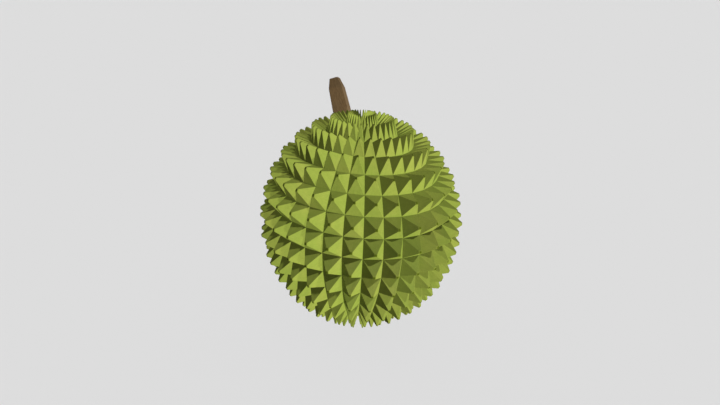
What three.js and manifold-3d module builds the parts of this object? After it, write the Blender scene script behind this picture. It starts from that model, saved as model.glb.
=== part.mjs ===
// A durian: a thorny husk on the small flat spot at its blossom end, with its cut stalk.
// Millimetres, +Z up. The origin is the middle of the underside, and the front looks towards -Y.
import * as THREE from 'three';
import { mergeVertices } from 'three/addons/utils/BufferGeometryUtils.js';
import Module from 'manifold-3d';

// ---- Driving dimensions ----
const BODY_RADIUS = 80.4; // half the depth of the body, front to back, under the thorns
const BODY_ACROSS = 0.954; // half the width, as a share of the radius
const BODY_TALL = 1.082; // half the height, as a share of the radius
const BODY_LEAN = THREE.MathUtils.degToRad(1.29); // the long axis leans to the right at the top

// How growth pulls the body out of true, as shares of the radius. The first word is the way a
// point moves, and the rest is what the move grows with: across (x), deep (y) and high (z).
const ACROSS_WITH_DEEP = -0.024;
const DEEP_WITH_HIGH = -0.019;
const ACROSS_WITH_ACROSS_DEEP = -0.032;
const ACROSS_WITH_DEEP_HIGH = -0.022;
const DEEP_WITH_ACROSS_ACROSS = -0.017;
const DEEP_WITH_ACROSS_HIGH = -0.031;
const DEEP_WITH_DEEP_HIGH = 0.018;
const HIGH_WITH_ACROSS_ACROSS = 0.0075;
const HIGH_WITH_ACROSS_DEEP = 0.044;
const HIGH_WITH_ACROSS_HIGH = -0.005;
const HIGH_WITH_DEEP_DEEP = 0.008;
const HIGH_WITH_DEEP_HIGH = 0.009;
const HIGH_WITH_HIGH_HIGH = -0.039;

const THORNS_ROUND = 32; // thorns in each ring
const THORN_RINGS = 16; // rings from the top pole to the blossom end
const THORN_HEIGHT = 0.149; // height, as a share of the radius
const THORN_TIP = 0.122; // width of the blunt tip, as a share of the thorn's foot

const FLAT_DEPTH = 99; // from the middle of the body down to the flat that it rests on
const SCAR_RADIUS = 13; // blossom scar, in the middle of the flat
const SCAR_HEIGHT = 10; // how far the scar reaches up into the body
const SCAR_SIDES = 24;

const STALK_TURN = THREE.MathUtils.degToRad(199.9); // where it leaves the husk, round from the front
const STALK_DROP = THREE.MathUtils.degToRad(27.6); // and down from the top pole
const STALK_FOOT = 86; // distance of that place from the middle of the body
const STALK_LEAN_TURN = THREE.MathUtils.degToRad(213.5); // the way the stalk points, counted alike
const STALK_LEAN = THREE.MathUtils.degToRad(23.6);
const STALK_ROOT = -14; // distances along the stalk, from its foot
const STALK_BEND = 32.3;
const STALK_TOP = 41.2;
const STALK_ROOT_SECTION = [15.9, 15]; // width and depth of the four-sided section there
const STALK_BEND_SECTION = [12.2, 12.5];
const STALK_TOP_SECTION = [7.4, 10];
const STALK_TWIST = THREE.MathUtils.degToRad(-11.6); // the section's turn about the stalk
const STALK_SLANT = Math.tan(THREE.MathUtils.degToRad(2)); // slope of the cut end, to the back
const STALK_CLEARING = 0.1; // no thorn stands nearer than this to the stalk, as a share of the radius
const SOCKET_GAP = 0.3; // clearance between the stalk and the husk all round

const HUSK_GREEN = 0x8a9a3c;
const STALK_BROWN = 0x64502f;

const FRONT_TO_BACK = new THREE.Vector3(0, 1, 0);

const wasm = await Module();
wasm.setup();

// ---- Solids from closed meshes, and back ----
function toSolid(geometry) {
  const bare = geometry.clone();
  bare.deleteAttribute('normal');
  bare.deleteAttribute('uv');
  const merged = mergeVertices(bare, 1e-4);
  const mesh = new wasm.Mesh({
    numProp: 3,
    vertProperties: new Float32Array(merged.attributes.position.array),
    triVerts: new Uint32Array(merged.index.array),
  });
  return new wasm.Manifold(mesh);
}

function toGeometry(solid) {
  const mesh = solid.getMesh();
  const geometry = new THREE.BufferGeometry();
  geometry.setAttribute('position', new THREE.BufferAttribute(mesh.vertProperties, mesh.numProp));
  geometry.setIndex(new THREE.BufferAttribute(mesh.triVerts, 1));
  geometry.computeVertexNormals();
  return geometry;
}

function closedGeometry(points, triangles) {
  const geometry = new THREE.BufferGeometry().setFromPoints(points);
  geometry.setIndex(triangles);
  return geometry;
}

// ---- The body's form ----
// Directions from the middle of the body: turn goes round from the front by way of the right,
// and drop goes down from the top pole.
function direction(turn, drop) {
  const reach = Math.sin(drop);
  return new THREE.Vector3(reach * Math.sin(turn), -reach * Math.cos(turn), Math.cos(drop));
}

// A point of the plain unit ball, moved to where the grown fruit has it. The fruit is narrower
// than it is deep, taller than it is wide, and a few soft bends pull it out of true.
function grow({ x, y, z }) {
  const across = BODY_ACROSS * x + ACROSS_WITH_DEEP * y
    + ACROSS_WITH_ACROSS_DEEP * x * y + ACROSS_WITH_DEEP_HIGH * y * z;
  const deep = y + ACROSS_WITH_DEEP * x + DEEP_WITH_HIGH * z
    + DEEP_WITH_ACROSS_ACROSS * x * x + DEEP_WITH_ACROSS_HIGH * x * z + DEEP_WITH_DEEP_HIGH * y * z;
  const high = BODY_TALL * z + DEEP_WITH_HIGH * y
    + HIGH_WITH_ACROSS_ACROSS * x * x + HIGH_WITH_ACROSS_DEEP * x * y + HIGH_WITH_ACROSS_HIGH * x * z
    + HIGH_WITH_DEEP_DEEP * y * y + HIGH_WITH_DEEP_HIGH * y * z + HIGH_WITH_HIGH_HIGH * z * z;
  return new THREE.Vector3(across, deep, high).multiplyScalar(BODY_RADIUS)
    .applyAxisAngle(FRONT_TO_BACK, BODY_LEAN);
}

const stalkPlace = direction(STALK_TURN, STALK_DROP);
const stalkAxis = direction(STALK_LEAN_TURN, STALK_LEAN);

// ---- Husk: a ball of rings and rows, with one four-sided thorn on each of its facets ----
function thornyBall() {
  const points = [];
  const triangles = [];
  const addPoint = (point) => points.push(grow(point)) - 1;
  const addFace = (corners) => {
    for (let i = 2; i < corners.length; i += 1) triangles.push(corners[0], corners[i - 1], corners[i]);
  };

  const knotDirection = (row, ring) => direction(
    (row % THORNS_ROUND) * 2 * Math.PI / THORNS_ROUND,
    ring * Math.PI / THORN_RINGS,
  );
  const knots = new Map();
  const knot = (row, ring) => {
    const isPole = ring === 0 || ring === THORN_RINGS;
    const key = isPole ? `pole ${ring}` : `${row % THORNS_ROUND} ${ring}`;
    if (!knots.has(key)) knots.set(key, addPoint(knotDirection(row, ring)));
    return knots.get(key);
  };

  for (let ring = 0; ring < THORN_RINGS; ring += 1) {
    for (let row = 0; row < THORNS_ROUND; row += 1) {
      let foot = [[row, ring], [row, ring + 1], [row + 1, ring + 1], [row + 1, ring]];
      if (ring === 0) foot = foot.slice(0, 3);
      if (ring === THORN_RINGS - 1) foot = [foot[0], foot[1], foot[3]];

      const feet = foot.map(([r, k]) => knot(r, k));
      const corners = foot.map(([r, k]) => knotDirection(r, k));
      const middle = corners.reduce((sum, c) => sum.add(c), new THREE.Vector3())
        .divideScalar(corners.length);
      if (middle.clone().normalize().distanceTo(stalkPlace) < STALK_CLEARING) {
        addFace(feet);
        continue;
      }

      const last = corners[corners.length - 1];
      const outward = new THREE.Vector3().crossVectors(
        corners[2].clone().sub(corners[0]),
        corners.length === 4 ? last.clone().sub(corners[1]) : corners[0].clone().sub(corners[1]),
      ).normalize();
      const tips = corners.map((corner) => addPoint(
        corner.clone().sub(middle).multiplyScalar(THORN_TIP).add(middle)
          .addScaledVector(outward, THORN_HEIGHT),
      ));
      feet.forEach((from, i) => {
        const j = (i + 1) % feet.length;
        addFace([from, feet[j], tips[j], tips[i]]);
      });
      addFace(tips);
    }
  }
  return toSolid(closedGeometry(points, triangles));
}

// ---- Stalk: a four-sided stick, which narrows faster above its bend ----
function stalkSolid(clearance, rootDepth) {
  const foot = stalkPlace.clone().multiplyScalar(STALK_FOOT);
  const across = new THREE.Vector3(1, 0, 0).addScaledVector(stalkAxis, -stalkAxis.x).normalize()
    .applyAxisAngle(stalkAxis, STALK_TWIST);
  const deep = new THREE.Vector3().crossVectors(stalkAxis, across);
  const stations = [
    { along: rootDepth, size: STALK_ROOT_SECTION, slant: 0 },
    { along: STALK_BEND, size: STALK_BEND_SECTION, slant: 0 },
    { along: STALK_TOP, size: STALK_TOP_SECTION, slant: STALK_SLANT },
  ];

  const points = [];
  const triangles = [];
  const section = ({ along, size, slant }) => {
    const [halfWidth, halfDepth] = size.map((length) => length / 2 + clearance);
    const outline = [[halfWidth, -halfDepth], [halfWidth, halfDepth],
      [-halfWidth, halfDepth], [-halfWidth, -halfDepth]];
    return outline.map(([u, v]) => points.push(foot.clone()
      .addScaledVector(stalkAxis, along + slant * v)
      .addScaledVector(across, u)
      .addScaledVector(deep, v)) - 1);
  };
  const rings = stations.map(section);
  const sides = rings[0].length;
  for (let s = 1; s < rings.length; s += 1) {
    for (let i = 0; i < sides; i += 1) {
      const j = (i + 1) % sides;
      triangles.push(rings[s - 1][i], rings[s - 1][j], rings[s][j]);
      triangles.push(rings[s - 1][i], rings[s][j], rings[s][i]);
    }
  }
  const [root, top] = [rings[0], rings[rings.length - 1]];
  for (let i = 2; i < sides; i += 1) {
    triangles.push(root[0], root[i], root[i - 1]);
    triangles.push(top[0], top[i - 1], top[i]);
  }
  return toSolid(closedGeometry(points, triangles));
}

// ---- Blossom end: a low round scar, cut level with the thorns round it ----
function blossomScar() {
  const pole = grow(new THREE.Vector3(0, 0, -1));
  const scar = new THREE.CylinderGeometry(SCAR_RADIUS, SCAR_RADIUS, 2 * SCAR_HEIGHT, SCAR_SIDES);
  scar.rotateX(Math.PI / 2);
  scar.translate(pole.x, pole.y, -FLAT_DEPTH);
  return toSolid(scar);
}

function groundBlock() {
  const reach = 2 * BODY_RADIUS;
  const ground = new THREE.BoxGeometry(reach, reach, reach);
  ground.translate(0, 0, -FLAT_DEPTH - reach / 2);
  return toSolid(ground);
}

// ---- The two pieces ----
const huskGeometry = toGeometry(
  thornyBall()
    .add(blossomScar())
    .subtract(groundBlock())
    .subtract(stalkSolid(SOCKET_GAP, STALK_ROOT - SOCKET_GAP)),
);
const stalkGeometry = toGeometry(stalkSolid(0, STALK_ROOT));

huskGeometry.computeBoundingBox();
const footprint = huskGeometry.boundingBox.getCenter(new THREE.Vector3());

function piece(name, geometry, color, roughness) {
  const material = new THREE.MeshStandardMaterial({ color, roughness, metalness: 0 });
  const mesh = new THREE.Mesh(geometry, material);
  mesh.name = name;
  return mesh;
}

const durian = new THREE.Group();
durian.position.set(-footprint.x, -footprint.y, FLAT_DEPTH);
durian.add(piece('husk', huskGeometry, HUSK_GREEN, 0.75));
durian.add(piece('stalk', stalkGeometry, STALK_BROWN, 0.85));

export default durian;
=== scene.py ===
# A durian: a thorny husk and its cut stalk, on a pale floor. Metres, +Z up.
import math

import bmesh
import bpy
import numpy as np
from mathutils import Matrix, Vector


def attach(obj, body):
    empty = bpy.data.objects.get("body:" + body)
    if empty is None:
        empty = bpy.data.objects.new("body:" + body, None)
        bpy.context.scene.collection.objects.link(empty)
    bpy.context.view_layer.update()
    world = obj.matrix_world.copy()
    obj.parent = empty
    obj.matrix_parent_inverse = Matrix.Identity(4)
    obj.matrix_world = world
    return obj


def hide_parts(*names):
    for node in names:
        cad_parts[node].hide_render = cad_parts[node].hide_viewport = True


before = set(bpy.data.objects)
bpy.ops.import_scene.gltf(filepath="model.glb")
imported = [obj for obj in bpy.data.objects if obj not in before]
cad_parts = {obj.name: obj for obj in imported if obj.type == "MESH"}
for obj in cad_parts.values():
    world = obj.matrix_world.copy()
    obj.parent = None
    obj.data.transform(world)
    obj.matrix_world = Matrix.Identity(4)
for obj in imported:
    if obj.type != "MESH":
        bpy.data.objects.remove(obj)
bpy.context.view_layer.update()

MM = 0.001


def rgba(r, g, b):
    return (r, g, b, 1.0)


# ---- The body's form: the same numbers as the CAD husk ----
BODY_RADIUS = 80.4 * MM
BODY_ACROSS = 0.954  # half the width, as a share of the radius
BODY_TALL = 1.082  # half the height, as a share of the radius
BODY_LEAN = math.radians(1.29)
BODY_PLACE = np.array([-0.21, 0.167, 99.0]) * MM  # the middle of the body

# How growth pulls the body out of true, as shares of the radius. The first word is the way a
# point moves, and the rest is what the move grows with: across (x), deep (y) and high (z).
ACROSS_WITH_DEEP = -0.024
DEEP_WITH_HIGH = -0.019
ACROSS_WITH_ACROSS_DEEP = -0.032
ACROSS_WITH_DEEP_HIGH = -0.022
DEEP_WITH_ACROSS_ACROSS = -0.017
DEEP_WITH_ACROSS_HIGH = -0.031
DEEP_WITH_DEEP_HIGH = 0.018
HIGH_WITH_ACROSS_ACROSS = 0.0075
HIGH_WITH_ACROSS_DEEP = 0.044
HIGH_WITH_ACROSS_HIGH = -0.005
HIGH_WITH_DEEP_DEEP = 0.008
HIGH_WITH_DEEP_HIGH = 0.009
HIGH_WITH_HIGH_HIGH = -0.039

THORNS_ROUND = 32
THORN_RINGS = 16
THORN_HEIGHT = 0.149  # as a share of the radius
THORN_TIP = 0.122  # width of the blunt tip, as a share of the thorn's foot

# ---- The stalk's form: the same numbers as the CAD stalk ----
STALK_TURN = math.radians(199.9)  # where it leaves the husk, round from the front
STALK_DROP = math.radians(27.6)  # and down from the top pole
STALK_FOOT = 86 * MM  # distance of that place from the middle of the body
STALK_LEAN_TURN = math.radians(213.5)  # the way the stalk points, counted alike
STALK_LEAN = math.radians(23.6)
STALK_ROOT = -14 * MM  # distances along the stalk, from its foot
STALK_BEND = 32.3 * MM
STALK_TOP = 41.2 * MM
STALK_WIDTHS = (15.9 * MM, 12.2 * MM, 7.4 * MM)  # at the root, the bend and the top
STALK_DEPTHS = (15 * MM, 12.5 * MM, 10 * MM)
STALK_TWIST = math.radians(-11.6)
STALK_SLANT = math.tan(math.radians(2))
STALK_CLEARING = 0.1  # no thorn stands nearer than this to the stalk, as a share of the radius

# ---- Finer form of the thorns ----
COLUMNS = 7  # points in a row along each flank
RIDGE_WIDTH = 0.30 * MM  # width of the rounding beside each ridge
RIDGE_WIDEST = 0.2  # and the most of a narrow flank that it takes
RIDGE_SHOULDER = 0.55 * MM  # where the second points from each ridge stand
SHOULDER_WIDEST = 0.33
INNER_COLUMN = 0.55  # where the third points stand, from the shoulder to the middle
RIDGE_PULL = 0.22  # how far a ridge is rounded in, as a share of its rounding's width
ROWS_UP = (0.0, 0.05, 0.33, 0.66, 0.93, 1.0)  # rows of points, from a thorn's foot to its tip
FLANK_HOLLOW = (-0.05 * MM, 0.22 * MM)  # range of how deep a flank is dished
TIP_JITTER = 0.12 * MM  # how far a tip is moved at random
TIP_DOME = 0.12 * MM  # height of the low dome on a tip
DOME_RING = 0.55  # size of the ring on that dome, as a share of the tip
DOME_RING_HEIGHT = 0.7  # as a share of the dome's height
DOME_RISES = (1.04, 1.08)  # the rise that the material reads on that ring and on the dome's top

# ---- Blossom scar ----
SCAR_RADIUS = 13 * MM
SCAR_START = 0.4 * MM  # how far above the bottom pole the skin turns down to the scar
SCAR_WAVES = ((5, 1.0, 0.02), (13, 0.0, 0.012))  # waves round it, their phase and their size
SCAR_MIDDLE = 1.0 * MM  # height of the middle of the scar, which is dished
SCAR_PROFILE = (  # each ring's radius, height over the floor, and rise; over 1.15 is cork
    (SCAR_RADIUS * 1.06, None, 0.1),  # this one lies at SCAR_START
    (SCAR_RADIUS, 6 * MM, 0.3),
    (SCAR_RADIUS, 1.2 * MM, 0.6),
    (SCAR_RADIUS * 0.97, 0.3 * MM, 1.1),
    (SCAR_RADIUS * 0.92, 0.0, 1.5),
    (SCAR_RADIUS * 0.62, 0.0, 1.6),
    (SCAR_RADIUS * 0.55, 0.5 * MM, 1.7),
    (SCAR_RADIUS * 0.25, 0.9 * MM, 1.9),
)

# ---- Finer form of the stalk ----
STALK_START = STALK_ROOT + 4 * MM  # the visible stalk starts here, out of sight in the husk
STALK_ROWS_LOW = 70  # rows of points from the start to the bend
STALK_ROWS_HIGH = 15  # and from the bend to the top
STALK_FLAT_STEPS = 12  # points along each flat of the stalk's section
STALK_CORNER_STEPS = 4  # steps round each corner
STALK_CORNER = 0.5 * MM  # radius of each corner
STALK_ROOT_CORNER = 6 * MM  # the same in the husk, where the stalk is nearly round
STALK_ROUND_UP_TO = 13 * MM  # how far up the stalk the rounding fades out
STALK_FIBRE = 0.12 * MM  # height of the bark's fibres
STALK_WAVES = (range(9, 34, 3), range(10, 36, 3))  # round the stalk: two sets of fibres
STALK_SWAY = 9  # the two sets take turns along it, over this many millimetres per radian
STALK_SHARP = math.radians(28)  # edges that turn by more than this stay crisp
CUT_ROUNDEST = 0.98  # most that a ring's corners are rounded, as a share of its half width
CUT_RINGS = (  # size and height of the rings on the cut end, from the outside in
    (0.90, 0.22 * MM),
    (0.72, 0.18 * MM),
    (0.5, 0.30 * MM),
    (0.28, 0.12 * MM),
    (0.14, 0.2 * MM),
)
CUT_MIDDLE = 0.15 * MM  # height of the middle of the cut end

# ---- Where the materials' patterns lie ----
FIBRES_ROUND = 13.0  # fineness of the fibres round a thorn
FIBRES_UP = 1.2  # and up it
FIBRES_BARE = 9  # the same across a facet with no thorn
BARE_RISE = 0.03  # the rise that the material reads on such a facet
SEED_REACH = 40  # how far apart the thorns' patterns are taken
SCAR_FIBRES = 20
SCAR_FIBRES_IN = 9
STALK_FIBRES = 6

# ---- Camera and stage ----
CAMERA_PLACE = (-0.00009, -0.39871, 0.28118)
CAMERA_ELEVATION = math.radians(22.84)
CAMERA_LENS = 24.445  # in millimetres, as Blender counts lenses
CAMERA_SENSOR = 36.0
CAMERA_CLIP = (0.01, 500)
FLOOR_RADII = (0.3, 1.0, 4.0, 15.0, 60.0)  # rings of faces, larger further out
FLOOR_SIDES = 96
FLOOR_HEIGHT = -0.3 * MM
FLOOR_SHADE = 0.78
FLOOR_SHADOW = 0.22  # share of the floor's light that the fruit can shade
FLOOR_SUN = 100  # width of the floor's suns, in degrees
BACKDROP = 0.7230  # brightness of the pale floor and what lies beyond it
LIGHTS = (  # azimuth, elevation, strength, width in degrees, and whether it casts a shadow
    (32, 54, 0.286, 2.5, True),  # the key, high on the right
    (47, -30, 1.015, 6.0, False),  # low on the right, as a pale floor throws light back
    (-56, 33, 0.126, 6.0, False),  # high on the left
    (124, 38, 0.145, 6.0, False),  # high behind, on the right
    (180, -22.8, 0.90, 6.0, False),  # low behind
)

WELD = 0.005 * MM  # points nearer than this are joined
GROUND_SNAP = 1e-7  # points this near the ground count as on it
NO_WIDTH = 1e-6  # stands for the width of a flank that comes to a point

rng = np.random.default_rng(7)


# ---- Camera ----
def add_camera():
    data = bpy.data.cameras.new("camera")
    data.sensor_width = CAMERA_SENSOR
    data.lens = CAMERA_LENS
    data.clip_start, data.clip_end = CAMERA_CLIP
    camera = bpy.data.objects.new("camera", data)
    bpy.context.scene.collection.objects.link(camera)
    right = Vector((1, 0, 0))
    up = Vector((0, math.sin(CAMERA_ELEVATION), math.cos(CAMERA_ELEVATION)))
    back = Vector((0, -math.cos(CAMERA_ELEVATION), math.sin(CAMERA_ELEVATION)))
    pose = Matrix((right, up, back)).transposed().to_4x4()
    pose.translation = CAMERA_PLACE
    camera.matrix_world = pose
    bpy.context.scene.camera = camera


# ---- Form of the body ----
def direction(turn, drop):
    """The way that lies this far round from the front and this far down from the top."""
    reach = math.sin(drop)
    return np.array([reach * math.sin(turn), -reach * math.cos(turn), math.cos(drop)])


def unit(vector):
    return vector / np.linalg.norm(vector)


def grow(points):
    """Points of the plain unit ball, moved to where the grown fruit has them."""
    x, y, z = np.asarray(points, float).T
    across = BODY_ACROSS * x + ACROSS_WITH_DEEP * y
    across = across + ACROSS_WITH_ACROSS_DEEP * x * y + ACROSS_WITH_DEEP_HIGH * y * z
    deep = y + ACROSS_WITH_DEEP * x + DEEP_WITH_HIGH * z
    deep = deep + DEEP_WITH_ACROSS_ACROSS * x * x + DEEP_WITH_ACROSS_HIGH * x * z
    deep = deep + DEEP_WITH_DEEP_HIGH * y * z
    high = BODY_TALL * z + DEEP_WITH_HIGH * y + HIGH_WITH_ACROSS_ACROSS * x * x
    high = high + HIGH_WITH_ACROSS_DEEP * x * y + HIGH_WITH_ACROSS_HIGH * x * z
    high = high + HIGH_WITH_DEEP_DEEP * y * y + HIGH_WITH_DEEP_HIGH * y * z
    high = high + HIGH_WITH_HIGH_HIGH * z * z
    cos, sin = math.cos(BODY_LEAN), math.sin(BODY_LEAN)
    grown = np.stack([across * cos + high * sin, deep, high * cos - across * sin], axis=-1)
    return grown * BODY_RADIUS + BODY_PLACE


def knot(row, ring):
    """Where a row and a ring of the plain unit ball cross."""
    at_a_pole = ring in (0, THORN_RINGS)
    turn = 0 if at_a_pole else (row % THORNS_ROUND) * 2 * math.pi / THORNS_ROUND
    return direction(turn, ring * math.pi / THORN_RINGS)


def stations(width):
    """Shares along a flank of this width where its columns of points stand, ridge to ridge."""
    near = min(RIDGE_WIDTH / width, RIDGE_WIDEST)
    far = min(RIDGE_SHOULDER / width, SHOULDER_WIDEST)
    inner = far + (0.5 - far) * INNER_COLUMN
    return np.array([0, near, far, inner, 1 - inner, 1 - far, 1 - near])


def outline(corners):
    """A closed row of points round a thorn, with COLUMNS points on each flank."""
    points = []
    for i, start in enumerate(corners):
        end = corners[(i + 1) % len(corners)]
        shares = stations(max(np.linalg.norm(end - start), NO_WIDTH))
        points.append(start + shares[:, None] * (end - start))
    return np.concatenate(points)


class Builder:
    """Collects a mesh's points and faces, and each point's values for the material."""

    def __init__(self):
        self.points, self.faces, self.values, self.on_foot = [], [], [], []
        self.count = 0

    def add(self, points, values, on_foot=False):
        """Adds points with their fibre place, rise and tint, and gives the first one's number."""
        start = self.count
        self.points.append(points)
        self.values.append(values)
        self.on_foot.append(np.full(len(points), on_foot))
        self.count += len(points)
        return start

    def skin(self, rows, top, count):
        """Faces from each closed row of points to the next, and from the last to its top."""
        for low, high in zip(rows, rows[1:]):
            for i in range(count):
                j = (i + 1) % count
                self.faces.append((low + i, low + j, high + j, high + i))
        for i in range(count):
            self.faces.append((rows[-1] + i, rows[-1] + (i + 1) % count, top))


def new_pattern():
    """A thorn's own tint, and the place in the noise that its fibres are taken from."""
    return rng.uniform(-1, 1), rng.uniform(-SEED_REACH, SEED_REACH, 3)


def dish(ring, hollow, rise):
    """Dishes each flank of a thorn at this rise."""
    middle = ring.mean(axis=0)
    for side, depth in enumerate(hollow):
        first = side * COLUMNS
        a, b = ring[first], ring[(first + COLUMNS) % len(ring)]
        shares = stations(np.linalg.norm(b - a))
        share = 4 * shares * (1 - shares) * 4 * rise * (1 - rise)
        ring[first:first + COLUMNS] += (depth * share)[:, None] * unit(middle - (a + b) / 2)


def round_ridges(ring, middle):
    """Pulls each ridge of a thorn in a little."""
    for first in range(0, len(ring), COLUMNS):
        gap = np.linalg.norm(ring[first + 1] - ring[first])
        ring[first] += RIDGE_PULL * gap * unit(middle - ring[first])


def add_thorn(build, feet, tips):
    """One thorn from its foot's corners to its tip's corners, both in metres."""
    sides = len(feet)
    count = sides * COLUMNS
    tint, seed = new_pattern()
    hollow = rng.uniform(*FLANK_HOLLOW, sides)
    tips = tips + rng.uniform(-TIP_JITTER, TIP_JITTER, 3)
    axis = unit(tips.mean(axis=0) - feet.mean(axis=0))
    phase = rng.uniform(0, 2 * math.pi)
    spin = np.arange(count) * 2 * math.pi / count + phase

    def values(rise, number=count):
        return np.column_stack([
            FIBRES_ROUND * np.cos(spin[:number]) + seed[0],
            FIBRES_ROUND * np.sin(spin[:number]) + seed[1],
            np.full(number, rise * FIBRES_UP + seed[2]),
            np.full(number, rise),
            np.full(number, tint),
        ])

    rows = []
    for rise in ROWS_UP:
        ring = outline(feet + rise * (tips - feet))
        middle = ring.mean(axis=0)
        if 0 < rise < 1:
            dish(ring, hollow, rise)
        if rise > 0:
            round_ridges(ring, middle)
        rows.append(build.add(ring, values(rise), on_foot=rise == 0))
    cap = outline(tips)
    middle = cap.mean(axis=0)
    inset = middle + (cap - middle) * DOME_RING + axis * TIP_DOME * DOME_RING_HEIGHT
    rows.append(build.add(inset, values(DOME_RISES[0])))
    top = build.add((middle + axis * TIP_DOME)[None], values(DOME_RISES[1], number=1))
    build.skin(rows, top, count)


def add_bare(build, feet):
    """A facet of the husk with no thorn, where the stalk stands."""
    tint, seed = new_pattern()
    widths = [np.linalg.norm(feet[(i + 1) % 4] - feet[i]) for i in range(4)]
    left, down, right, up = [np.append(stations(width), 1) for width in widths]
    steps = len(up)
    grid = {}
    for i in range(steps):
        for j in range(steps):
            # u goes from the first foot's side to the last foot's side, v goes down
            mean_v = (left[j] + right[j]) / 2
            u = up[i] * (1 - mean_v) + down[i] * mean_v
            v = left[j] * (1 - u) + right[j] * u
            top = feet[0] + u * (feet[3] - feet[0])
            bottom = feet[1] + u * (feet[2] - feet[1])
            point = top + v * (bottom - top)
            place = (u * FIBRES_BARE + seed[0], v * FIBRES_BARE + seed[1], seed[2])
            edge = i in (0, steps - 1) or j in (0, steps - 1)
            grid[i, j] = build.add(point[None], np.array([[*place, BARE_RISE, tint]]), edge)
    for i in range(steps - 1):
        for j in range(steps - 1):
            build.faces.append(
                (grid[i, j], grid[i, j + 1], grid[i + 1, j + 1], grid[i + 1, j])
            )


def add_scar(build):
    """The round blossom scar under the fruit, inside the last ring of thorns."""
    pole = grow([[0, 0, -1]])[0]
    feet = [grow([knot(row, THORN_RINGS - 1)])[0] for row in range(THORNS_ROUND)]
    rim = outline(feet)[::-1]
    count = len(rim)
    middle = np.array([pole[0], pole[1], 0])
    away = (rim - middle) * [1, 1, 0]
    away /= np.linalg.norm(away, axis=1)[:, None]
    turn = np.arctan2(away[:, 1], away[:, 0])
    wave = sum((size * np.sin(number * turn + phase) for number, phase, size in SCAR_WAVES), 1)

    def values(rise):
        return np.column_stack([
            away[:, 0] * SCAR_FIBRES, away[:, 1] * SCAR_FIBRES,
            np.full(count, rise * SCAR_FIBRES_IN), np.full(count, rise), np.zeros(count),
        ])

    rows = [build.add(rim, values(0.0), on_foot=True)]
    for radius, height, rise in SCAR_PROFILE:
        ring = middle + away * radius * wave[:, None]
        ring[:, 2] = pole[2] + SCAR_START if height is None else height
        rows.append(build.add(ring, values(rise)))
    top = build.add((middle + [0, 0, SCAR_MIDDLE])[None], values(2.0)[:1])
    build.skin(rows, top, count)


def to_mesh(build, name):
    """A Blender mesh with shared points joined, and the values kept at the face corners."""
    points = np.concatenate(build.points)
    values = np.concatenate(build.values)
    on_foot = np.concatenate(build.on_foot)
    keys = np.round(points / WELD).astype(np.int64)
    _, first, where = np.unique(keys, axis=0, return_index=True, return_inverse=True)
    where = where.ravel()
    faces = []
    corners = []
    for face in build.faces:
        joined = [where[i] for i in face]
        if len(set(joined)) == len(joined):
            faces.append(joined)
            corners.extend(face)
    mesh = bpy.data.meshes.new(name)
    mesh.from_pydata(points[first].tolist(), [], faces)
    values = values[corners].astype(np.float32)
    fibre = mesh.attributes.new("fibre", "FLOAT_VECTOR", "CORNER")
    fibre.data.foreach_set("vector", values[:, :3].ravel())
    for column, key in ((3, "rise"), (4, "tint")):
        layer = mesh.attributes.new(key, "FLOAT", "CORNER")
        layer.data.foreach_set("value", values[:, column].copy())

    # the valleys between the thorns stay crisp
    in_valley = np.zeros(len(first), bool)
    in_valley[where[on_foot]] = True
    ends = np.empty(len(mesh.edges) * 2, np.int32)
    mesh.edges.foreach_get("vertices", ends)
    sharp = mesh.attributes.new("sharp_edge", "BOOLEAN", "EDGE")
    sharp.data.foreach_set("value", in_valley[ends.reshape(-1, 2)].all(axis=1))
    mesh.polygons.foreach_set("use_smooth", np.ones(len(mesh.polygons), bool))
    mesh.update()
    return mesh


def cut_at_ground(mesh):
    """Cuts off what lies under the floor, and closes each cut with a flat face."""
    work = bmesh.new()
    work.from_mesh(mesh)
    everything = work.verts[:] + work.edges[:] + work.faces[:]
    bmesh.ops.bisect_plane(
        work, geom=everything, plane_co=(0, 0, 0), plane_no=(0, 0, 1), clear_inner=True,
        dist=GROUND_SNAP,
    )
    open_edges = [edge for edge in work.edges if edge.is_boundary]
    for face in bmesh.ops.holes_fill(work, edges=open_edges, sides=0)["faces"]:
        face.smooth = False
    bmesh.ops.recalc_face_normals(work, faces=work.faces)
    work.to_mesh(mesh)
    work.free()


def place_piece(name, mesh, node, material):
    piece = bpy.data.objects.new(name, mesh)
    bpy.context.scene.collection.objects.link(piece)
    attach(piece, "root")
    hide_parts(node)
    mesh.materials.append(material)
    piece.visible_diffuse = False  # keeps its green off the floor and out of its own shade
    return piece


def add_husk():
    stalk_way = direction(STALK_TURN, STALK_DROP)
    build = Builder()
    for ring in range(THORN_RINGS - 1):
        for row in range(THORNS_ROUND):
            foot = [(row, ring), (row, ring + 1), (row + 1, ring + 1), (row + 1, ring)]
            if ring == 0:
                foot = foot[:3]  # the fourth corner meets the first at the pole
            corners = np.array([knot(*place) for place in foot])
            middle = corners.mean(axis=0)
            feet = grow(corners)
            if np.linalg.norm(unit(middle) - stalk_way) < STALK_CLEARING:
                add_bare(build, feet)
                continue
            cross = corners[3] - corners[1] if len(corners) == 4 else corners[0] - corners[1]
            outward = unit(np.cross(corners[2] - corners[0], cross))
            tips = middle + (corners - middle) * THORN_TIP + outward * THORN_HEIGHT
            add_thorn(build, feet, grow(tips))
    add_scar(build)
    mesh = to_mesh(build, "durian_husk")
    cut_at_ground(mesh)
    return place_piece("durian_husk", mesh, "husk", husk_material())


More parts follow.
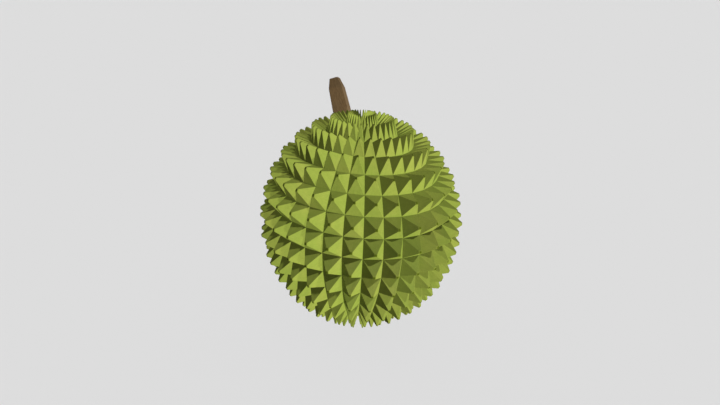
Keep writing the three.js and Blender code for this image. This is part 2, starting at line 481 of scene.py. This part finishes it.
# ---- Stalk ----
def section(width, depth, corner):
    """The stalk's outline about its axis: four sides with rounded corners."""
    reach = np.array([width, depth]) / 2
    flat = reach - corner
    points = []
    for quarter in range(4):
        turn = quarter * math.pi / 2
        out = np.round([math.cos(turn), math.sin(turn)])
        side = np.round([-math.sin(turn), math.cos(turn)])
        shares = np.linspace(-1, 1, STALK_FLAT_STEPS)
        points.append(out * reach + shares[:, None] * flat * side)
        angles = np.arange(1, STALK_CORNER_STEPS) / STALK_CORNER_STEPS * math.pi / 2
        middle = (out + side) * flat
        round_part = np.cos(angles)[:, None] * out + np.sin(angles)[:, None] * side
        points.append(middle + corner * round_part)
    return np.concatenate(points)


def smooth_noise(count, waves, seed):
    """A closed row of random heights made of sine waves, between about -1 and 1."""
    maker = np.random.default_rng(seed)
    at = np.arange(count) * 2 * math.pi / count
    total = sum(
        maker.uniform(0.5, 1) * np.sin(w * at + maker.uniform(0, 2 * math.pi)) for w in waves
    )
    return total / len(waves)


def add_stalk():
    foot = BODY_PLACE + STALK_FOOT * direction(STALK_TURN, STALK_DROP)
    axis = direction(STALK_LEAN_TURN, STALK_LEAN)
    across = unit(np.array([1.0, 0, 0]) - axis[0] * axis)
    across = np.array(Matrix.Rotation(STALK_TWIST, 3, Vector(axis))) @ across
    deep = np.cross(axis, across)
    build = Builder()
    count = len(section(1.0, 1.0, STALK_CORNER))
    spin = np.arange(count) * 2 * math.pi / count
    early = smooth_noise(count, STALK_WAVES[0], seed=3)
    late = smooth_noise(count, STALK_WAVES[1], seed=4)
    sway = np.random.default_rng(5).uniform(0, 2 * math.pi)

    def place_ring(flat, along, slant):
        """Puts an outline on the stalk, this far along it."""
        points = foot + np.outer(along + slant * flat[:, 1], axis)
        return points + np.outer(flat[:, 0], across) + np.outer(flat[:, 1], deep)

    def values(along, share):
        return np.column_stack([
            np.cos(spin) * STALK_FIBRES * share, np.sin(spin) * STALK_FIBRES * share,
            np.full(count, along / MM), np.full(count, along / MM), np.full(count, share),
        ])

    rows = []
    low = np.linspace(STALK_START, STALK_BEND, STALK_ROWS_LOW)
    high = np.linspace(STALK_BEND, STALK_TOP, STALK_ROWS_HIGH)[1:]
    stops = (STALK_ROOT, STALK_BEND, STALK_TOP)
    for place in np.concatenate([low, high]):
        size = [np.interp(place, stops, widths) for widths in (STALK_WIDTHS, STALK_DEPTHS)]
        corner = np.interp(place, (0, STALK_ROUND_UP_TO), (STALK_ROOT_CORNER, STALK_CORNER))
        flat = section(*size, corner)
        blend = 0.5 + 0.5 * math.sin((place - STALK_START) / MM / STALK_SWAY + sway)
        rib = 1 + early * blend + late * (1 - blend)
        away = flat / np.linalg.norm(flat, axis=1)[:, None]
        flat = flat + away * (rib * STALK_FIBRE)[:, None]
        slant = STALK_SLANT * max(0, place - STALK_BEND) / (STALK_TOP - STALK_BEND)
        rows.append(build.add(place_ring(flat, place, slant), values(place, 1.0)))

    # the values on the cut end lie 1 mm past the top, which tells the material where it is
    width, depth = STALK_WIDTHS[-1], STALK_DEPTHS[-1]
    for share, lift in CUT_RINGS:
        roundness = min(2 * (1 - share), CUT_ROUNDEST)  # rounder towards the middle
        flat = section(width * share, depth * share, width / 2 * share * roundness)
        points = place_ring(flat, STALK_TOP + lift, STALK_SLANT)
        rows.append(build.add(points, values(STALK_TOP + MM, share)))
    top = build.add(
        (foot + (STALK_TOP + CUT_MIDDLE) * axis)[None], values(STALK_TOP + MM, 0.0)[:1]
    )
    build.skin(rows, top, count)
    root = build.add((foot + STALK_START * axis)[None], values(STALK_START, 0.0)[:1])
    for i in range(count):
        build.faces.append((rows[0] + (i + 1) % count, rows[0] + i, root))
    mesh = to_mesh(build, "durian_stalk")
    mesh.set_sharp_from_angle(angle=STALK_SHARP)
    return place_piece("durian_stalk", mesh, "stalk", stalk_material())


# ---- Materials ----
class Shader:
    """A short way to write node trees."""

    def __init__(self, name):
        self.material = bpy.data.materials.new(name)
        self.material.use_nodes = True
        self.tree = self.material.node_tree
        self.out = self.tree.nodes["Principled BSDF"]

    def node(self, kind, **inputs):
        made = self.tree.nodes.new(kind)
        for key, value in inputs.items():
            self.feed(made.inputs[key], value)
        return made

    def feed(self, socket, value):
        if isinstance(value, bpy.types.NodeSocket):
            self.tree.links.new(value, socket)
        else:
            socket.default_value = value

    def math(self, operation, a, b=0.0):
        made = self.tree.nodes.new("ShaderNodeMath")
        made.operation = operation
        self.feed(made.inputs[0], a)
        self.feed(made.inputs[1], b)
        return made.outputs[0]

    def add(self, a, b):
        return self.math("ADD", a, b)

    def times(self, a, b):
        return self.math("MULTIPLY", a, b)

    def mix(self, share, a, b):
        """The colour a, with this share of the colour b."""
        made = self.tree.nodes.new("ShaderNodeMix")
        made.data_type = "RGBA"
        self.feed(made.inputs["Factor"], share)
        self.feed(made.inputs[6], a)  # this node's colour sockets go by number
        self.feed(made.inputs[7], b)
        return made.outputs[2]

    def noise(self, at, scale, detail, roughness):
        made = self.node(
            "ShaderNodeTexNoise", Vector=at, Scale=scale, Detail=detail, Roughness=roughness
        )
        return made.outputs["Fac"]

    def spread(self, value, low, high, to_low=0.0, to_high=1.0):
        """Turns the range from low to high into the range from to_low to to_high, smoothly."""
        made = self.tree.nodes.new("ShaderNodeMapRange")
        made.interpolation_type = "SMOOTHSTEP"
        self.feed(made.inputs["Value"], value)
        for key, number in (("From Min", low), ("From Max", high),
                            ("To Min", to_low), ("To Max", to_high)):
            made.inputs[key].default_value = number
        return made.outputs[0]

    def attribute(self, name, output="Fac"):
        made = self.tree.nodes.new("ShaderNodeAttribute")
        made.attribute_name = name
        return made.outputs[output]

    def bump(self, height, strength, distance, onto=None):
        made = self.node("ShaderNodeBump", Strength=strength, Distance=distance, Height=height)
        if onto is not None:
            self.tree.links.new(onto, made.inputs["Normal"])
        return made.outputs[0]


def husk_material():
    s = Shader("durian_rind")
    place = s.node("ShaderNodeTexCoord").outputs["Object"]
    fibre_at = s.attribute("fibre", "Vector")
    rise = s.attribute("rise")  # 0 at a thorn's foot, 1 at its tip, over 1 on its blunt end
    tint = s.attribute("tint")

    # scales count patterns per metre, and on the fibres' own places per unit
    fibres = s.noise(fibre_at, scale=1.0, detail=3.0, roughness=0.6)
    threads = s.noise(fibre_at, scale=4.5, detail=2.0, roughness=0.55)
    broad = s.noise(place, scale=38.0, detail=2.0, roughness=0.5)
    mottle = s.noise(place, scale=260.0, detail=3.0, roughness=0.55)
    grain = s.noise(place, scale=2400.0, detail=2.0, roughness=0.6)

    green = rgba(0.410, 0.504, 0.078)
    leaf = rgba(0.338, 0.466, 0.064)
    straw = rgba(0.481, 0.510, 0.097)
    pale = rgba(0.460, 0.530, 0.083)
    fresh = rgba(0.532, 0.595, 0.130)
    colour = s.mix(s.spread(broad, 0.35, 0.7), leaf, straw)
    colour = s.mix(0.55, colour, green)
    # each thorn is a little lighter or darker than the next
    colour = s.mix(s.spread(tint, -1.0, 1.0, to_high=0.30), colour, pale)
    colour = s.mix(s.times(s.spread(fibres, 0.36, 0.66), 0.16), colour, fresh)
    thread_dark = rgba(0.247, 0.324, 0.048)
    colour = s.mix(s.spread(threads, 0.42, 0.62, 0.20, 0.0), colour, thread_dark)
    mottle_dark = rgba(0.219, 0.296, 0.045)
    colour = s.mix(s.spread(mottle, 0.30, 0.62, 0.16, 0.0), colour, mottle_dark)
    # painted shade: a thread of darker green is painted along the foot of each thorn, where the
    # valleys between the thorns lie in shade
    valley_painted_shade = rgba(0.245, 0.344, 0.050)
    colour = s.mix(s.spread(rise, 0.0, 0.07, 0.35, 0.0), colour, valley_painted_shade)
    # the blunt end of each thorn is dark cork, with a ragged edge
    ragged = s.add(rise, s.times(s.math("SUBTRACT", fibres, 0.5), 0.09))
    worn = rgba(0.251, 0.272, 0.038)
    colour = s.mix(s.spread(ragged, 0.90, 1.0, to_high=0.35), colour, worn)
    tip = s.spread(ragged, 0.985, 1.02)
    colour = s.mix(tip, colour, rgba(0.112, 0.151, 0.009))
    # so is the scar underneath, in rings
    cork_rings = s.spread(s.math("SINE", s.times(rise, 40.0)), -1.0, 1.0)
    cork = s.mix(cork_rings, rgba(0.235, 0.150, 0.062), rgba(0.160, 0.098, 0.040))
    colour = s.mix(s.spread(rise, 1.15, 1.40), colour, cork)
    s.feed(s.out.inputs["Base Color"], colour)

    rough = s.add(s.times(mottle, 0.22), 0.50)
    s.feed(s.out.inputs["Roughness"], s.add(rough, s.times(tip, 0.2)))
    s.out.inputs["Specular IOR Level"].default_value = 0.22

    normal = s.bump(fibres, strength=0.35, distance=0.25 * MM)
    normal = s.bump(threads, strength=0.40, distance=0.10 * MM, onto=normal)
    normal = s.bump(mottle, strength=0.25, distance=0.20 * MM, onto=normal)
    normal = s.bump(grain, strength=0.20, distance=0.05 * MM, onto=normal)
    s.feed(s.out.inputs["Normal"], normal)
    return s.material


def stalk_material():
    s = Shader("durian_stalk_bark")
    place = s.node("ShaderNodeTexCoord").outputs["Object"]
    share = s.attribute("tint")  # 1 on the bark, falling to 0 in the middle of the cut end
    along = s.attribute("rise")  # millimetres from the stalk's foot
    wood_at = s.attribute("fibre", "Vector")
    stretched = s.node("ShaderNodeMapping", Vector=wood_at)
    stretched.inputs["Scale"].default_value = (1.6, 1.6, 0.10)
    fibres = s.noise(stretched.outputs[0], scale=2.2, detail=4.0, roughness=0.65)
    broad = s.noise(place, scale=90.0, detail=2.0, roughness=0.5)
    flecks = s.noise(place, scale=1500.0, detail=2.0, roughness=0.6)

    bark = rgba(0.194, 0.120, 0.053), rgba(0.275, 0.173, 0.078)
    colour = s.mix(s.spread(fibres, 0.34, 0.66), *bark)
    grey = rgba(0.207, 0.152, 0.081)
    colour = s.mix(s.spread(broad, 0.35, 0.70, to_high=0.30), colour, grey)
    fleck = rgba(0.120, 0.075, 0.035)
    colour = s.mix(s.spread(flecks, 0.60, 0.72, to_high=0.35), colour, fleck)
    # painted light: the right-hand side is painted paler and greyer, as if more brightly lit
    split = s.node("ShaderNodeSeparateXYZ", Vector=wood_at).outputs
    facing = s.add(s.times(split[0], 0.135), s.times(split[1], 0.098))
    painted_light_side = rgba(0.280, 0.190, 0.104)
    colour = s.mix(s.spread(facing, 0.62, 0.78, to_high=0.7), colour, painted_light_side)
    # the cut end is ringed wood inside a dark line of bark
    end = s.spread(along, STALK_TOP / MM + 0.2, STALK_TOP / MM + 0.8)
    rings = s.math("SINE", s.add(s.times(share, 34.0), s.times(flecks, 4.0)))
    wood = s.mix(s.spread(rings, -1.0, 1.0), rgba(0.285, 0.200, 0.105), rgba(0.235, 0.162, 0.081))
    wood = s.mix(s.spread(share, 0.78, 0.92), wood, rgba(0.140, 0.088, 0.042))
    colour = s.mix(end, colour, wood)
    s.feed(s.out.inputs["Base Color"], colour)
    s.feed(s.out.inputs["Roughness"], s.add(s.times(fibres, 0.2), 0.68))
    s.out.inputs["Specular IOR Level"].default_value = 0.2

    normal = s.bump(fibres, strength=0.55, distance=0.35 * MM)
    normal = s.bump(flecks, strength=0.25, distance=0.06 * MM, onto=normal)
    s.feed(s.out.inputs["Normal"], normal)
    return s.material


# ---- Stage ----
def add_floor():
    turns = [2 * math.pi * i / FLOOR_SIDES for i in range(FLOOR_SIDES)]
    work = bmesh.new()
    rings = [
        [work.verts.new((radius * math.cos(t), radius * math.sin(t), FLOOR_HEIGHT)) for t in turns]
        for radius in FLOOR_RADII
    ]
    work.faces.new(rings[0])
    for low, high in zip(rings, rings[1:]):
        for i in range(FLOOR_SIDES):
            j = (i + 1) % FLOOR_SIDES
            work.faces.new((low[i], high[i], high[j], low[j]))
    mesh = bpy.data.meshes.new("floor")
    work.to_mesh(mesh)
    work.free()
    floor = bpy.data.objects.new("floor", mesh)
    bpy.context.scene.collection.objects.link(floor)
    s = Shader("floor_paper")
    s.out.inputs["Base Color"].default_value = rgba(FLOOR_SHADE, FLOOR_SHADE, FLOOR_SHADE)
    s.out.inputs["Roughness"].default_value = 1.0
    s.out.inputs["Specular IOR Level"].default_value = 0.0
    mesh.materials.append(s.material)
    floor.visible_diffuse = False
    floor.visible_glossy = False
    return floor


def add_sun(name, azimuth, elevation, strength, width, shadow, receivers):
    """A white sun that lights only the receivers; one that casts no shadow makes no gloss."""
    data = bpy.data.lights.new(name, "SUN")
    data.energy = strength * math.pi
    data.angle = math.radians(width)
    data.use_shadow = shadow
    light = bpy.data.objects.new(name, data)
    bpy.context.scene.collection.objects.link(light)
    a, e = math.radians(azimuth), math.radians(elevation)
    way = Vector((math.cos(e) * math.sin(a), -math.cos(e) * math.cos(a), math.sin(e)))
    light.rotation_mode = "QUATERNION"
    light.rotation_quaternion = way.to_track_quat("Z", "Y")
    group = bpy.data.collections.new(name + "_lights")
    for obj in receivers:
        group.objects.link(obj)
    light.light_linking.receiver_collection = group
    light.visible_glossy = shadow


def add_lights(pieces, floor):
    for i, row in enumerate(LIGHTS):
        add_sun(f"studio_{i}", *row, pieces)
    full = BACKDROP / FLOOR_SHADE
    add_sun("floor_even", 0, 90, full * (1 - FLOOR_SHADOW), FLOOR_SUN, False, [floor])
    add_sun("floor_soft", 0, 90, full * FLOOR_SHADOW, FLOOR_SUN, True, [floor])
    world = bpy.data.worlds.new("studio")
    bpy.context.scene.world = world
    world.use_nodes = True
    sky = world.node_tree.nodes["Background"]
    sky.inputs["Color"].default_value = rgba(BACKDROP, BACKDROP, BACKDROP)
    for ray in ("diffuse", "glossy", "transmission", "scatter"):
        setattr(world.cycles_visibility, ray, False)


def set_view():
    settings = bpy.context.scene.view_settings
    settings.view_transform = "Standard"
    settings.look = "None"


add_camera()
husk = add_husk()
stalk = add_stalk()
floor = add_floor()
add_lights([husk, stalk], floor)
set_view()
